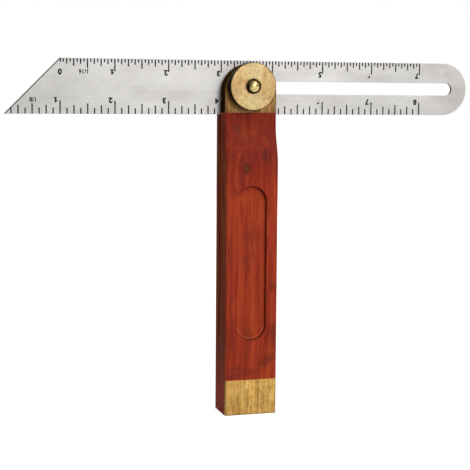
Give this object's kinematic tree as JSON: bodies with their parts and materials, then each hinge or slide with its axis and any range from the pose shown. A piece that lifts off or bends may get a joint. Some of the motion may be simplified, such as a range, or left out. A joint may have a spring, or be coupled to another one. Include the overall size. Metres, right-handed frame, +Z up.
{
  "type": "sliding bevel",
  "caption": "Sliding bevel for marking and checking angles: a slotted steel blade turns and slides in a kerf in a wooden stock and is clamped by a brass thumb nut.",
  "frame": {"origin": "centre of the stock's foot, the bottom face that the tool stands on in this pose", "axes": "+Z up the stock towards its head, +X along the blade towards its rounded end, -Y out of the front, where the thumb nut is"},
  "size_m": [0.2285, 0.0206, 0.1689],
  "materials": {
    "stock_wood": "oiled red rosewood or padauk, straight grain along the stock",
    "cheek_brass": "brushed along the stock",
    "plate_brass": "brushed along the stock, a little stained",
    "nut_brass": "turned face, knurled edge",
    "stud_brass": "polished",
    "washer_brass": "plain",
    "pin_brass": "filed flush",
    "blade_steel": "fine satin along the blade",
    "graduation_black": "black filled marks"
  },
  "bodies": {
    "stock": {"stock": "stock_wood", "front_cheek": "cheek_brass", "back_cheek": "cheek_brass", "cheek_dowels": "pin_brass", "front_foot_plate": "plate_brass", "back_foot_plate": "plate_brass", "foot_plate_pins": "pin_brass"},
    "clamp_stud": {"clamp_stud": "stud_brass"},
    "blade": {"blade": "blade_steel"},
    "washer": {"washer": "washer_brass"},
    "thumb_nut": {"thumb_nut": "nut_brass"}
  },
  "joints": [
    {"name": "blade_swing", "type": "hinge", "parent": "stock", "child": "clamp_stud", "pos_m": [0, 0.002, 0.1567], "axis": [0, 1, 0], "range_deg": [-75, 90]},
    {"name": "blade_slide", "type": "slide", "parent": "clamp_stud", "child": "blade", "axis": [-1, 0, 0], "range_m": [0, 0.1017]},
    {"name": "nut_travel", "type": "slide", "parent": "clamp_stud", "child": "washer", "axis": [0, -1, 0], "range_m": [0, 0.0016]},
    {"name": "nut_turn", "type": "hinge", "parent": "washer", "child": "thumb_nut", "pos_m": [0, -0.005, 0.1567], "axis": [0, -1, 0], "range_deg": [0, 720]}
  ],
  "couplings": [
    {"joint": "nut_travel", "follows": "nut_turn", "m_per_rad": 0.00012732}
  ]
}
